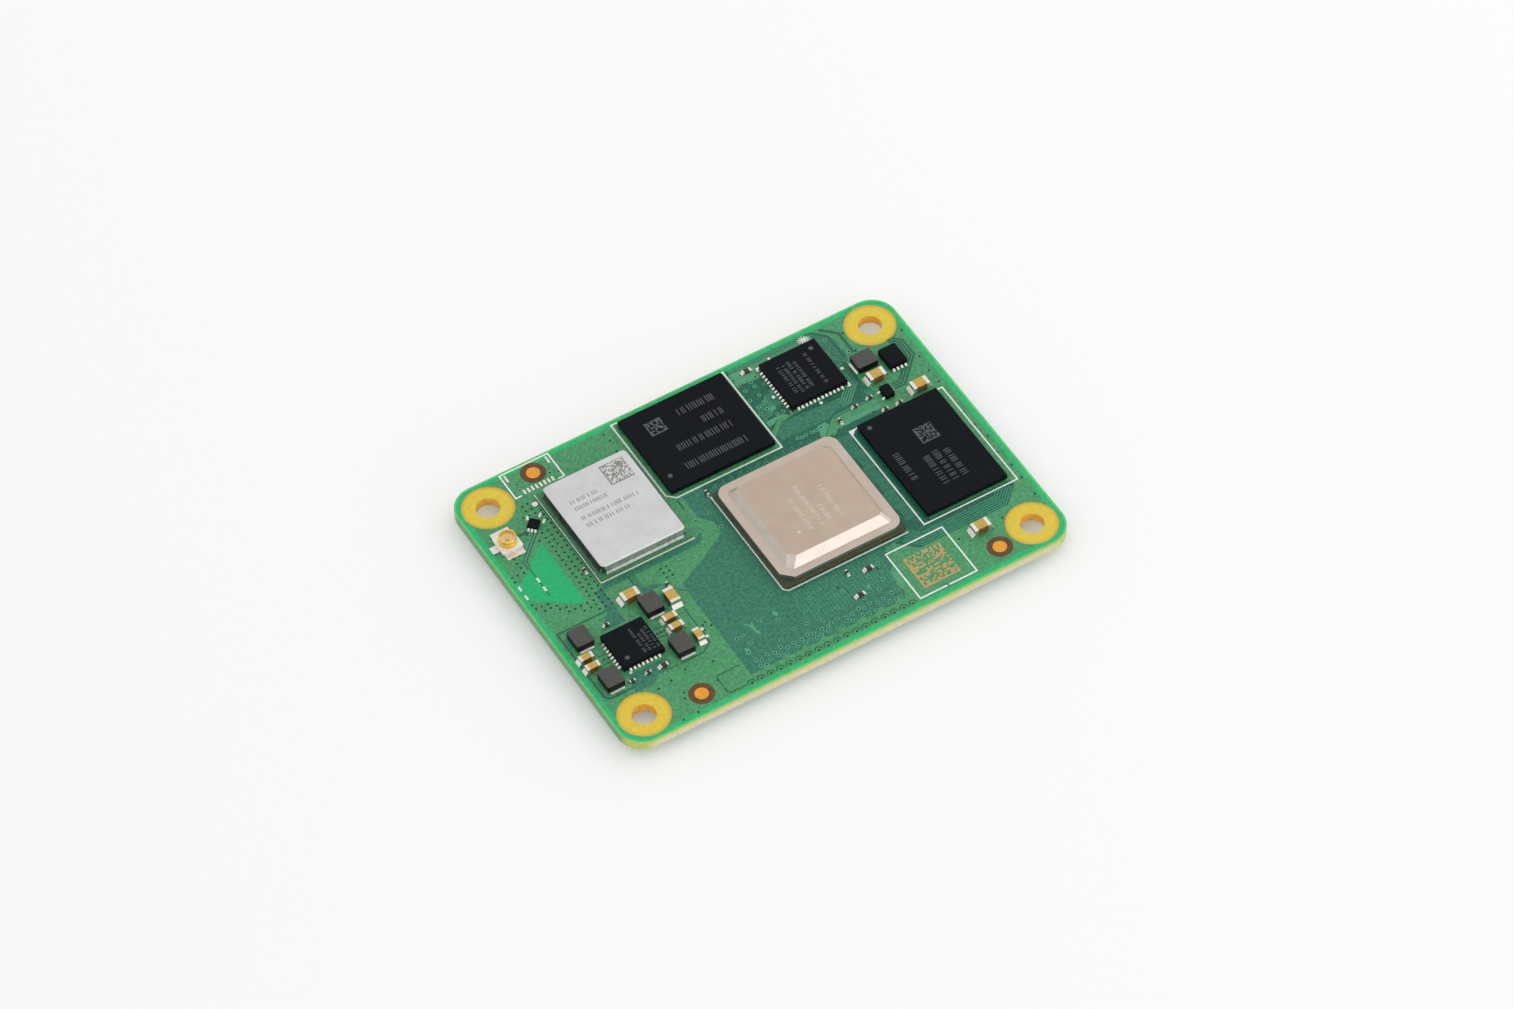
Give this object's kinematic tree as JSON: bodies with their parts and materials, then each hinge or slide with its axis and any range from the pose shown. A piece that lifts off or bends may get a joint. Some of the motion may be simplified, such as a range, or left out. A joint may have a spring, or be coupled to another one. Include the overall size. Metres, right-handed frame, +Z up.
{
  "type": "system on module",
  "caption": "Small computer board: lidded processor, memory, flash, shielded radio and power parts on top, mezzanine connectors below; bolts flat onto a carrier.",
  "frame": {"origin": "middle of the board's outline, on the plane of the connectors' mating faces", "axes": "+X along the board's long side, +Y along its short side towards the flash package, +Z up out of the processor's side"},
  "size_m": [0.055, 0.04, 0.0047],
  "materials": {
    "solder_mask": "satin green solder mask over copper and glass laminate",
    "bare_copper": "flat coated copper",
    "tin": "bright solder",
    "package_laminate": "dark green package laminate",
    "silicon": "polished silicon",
    "nickel_plate": "satin nickel on copper",
    "moulding_compound": "fine matte mould surface",
    "shield_metal": "satin nickel silver sheet",
    "coil_moulding": "matte pressed iron powder",
    "capacitor_ceramic": "fired ceramic, tan",
    "chip_ceramic": "fired ceramic, brown",
    "jack_plastic": "ivory moulding",
    "gold_plate": "bright gold plate",
    "connector_plastic": "black moulding"
  },
  "bodies": {
    "root": {"board": "solder_mask", "fiducial_dots": "bare_copper", "bare_pads": "tin", "processor_substrate": "package_laminate", "processor_balls": "tin", "processor_die": "silicon", "processor_lid": "nickel_plate", "memory_chip": "moulding_compound", "memory_balls": "tin", "flash_chip": "moulding_compound", "flash_balls": "tin", "wireless_carrier": "package_laminate", "wireless_shield": "shield_metal", "radio_chip": "moulding_compound", "ethernet_chip": "moulding_compound", "ethernet_chip_leads": "tin", "power_chip": "moulding_compound", "power_chip_leads": "tin", "antenna_switch": "moulding_compound", "antenna_switch_leads": "tin", "reset_transistor": "moulding_compound", "reset_transistor_leads": "tin", "load_switch": "moulding_compound", "load_switch_leads": "tin", "power_coil_1": "coil_moulding", "power_coil_2": "coil_moulding", "power_coil_3": "coil_moulding", "power_coil_4": "coil_moulding", "ethernet_coil": "coil_moulding", "coil_terminals": "tin", "power_capacitor_1": "capacitor_ceramic", "power_capacitor_2": "capacitor_ceramic", "power_capacitor_3": "capacitor_ceramic", "power_capacitor_4": "capacitor_ceramic", "power_capacitor_5": "capacitor_ceramic", "power_capacitor_6": "capacitor_ceramic", "power_capacitor_7": "capacitor_ceramic", "ethernet_capacitor": "capacitor_ceramic", "memory_capacitor": "capacitor_ceramic", "corner_capacitor": "capacitor_ceramic", "capacitor_ends": "tin", "chip_resistors": "chip_ceramic", "chip_resistor_ends": "tin", "antenna_jack_base": "jack_plastic", "antenna_jack_shell": "gold_plate", "antenna_jack_pin": "gold_plate", "antenna_jack_feet": "tin", "connector_front_housing": "connector_plastic", "connector_front_contacts": "gold_plate", "connector_back_housing": "connector_plastic", "connector_back_contacts": "gold_plate", "underside_capacitors": "capacitor_ceramic", "underside_capacitor_ends": "tin"}
  },
  "joints": []
}
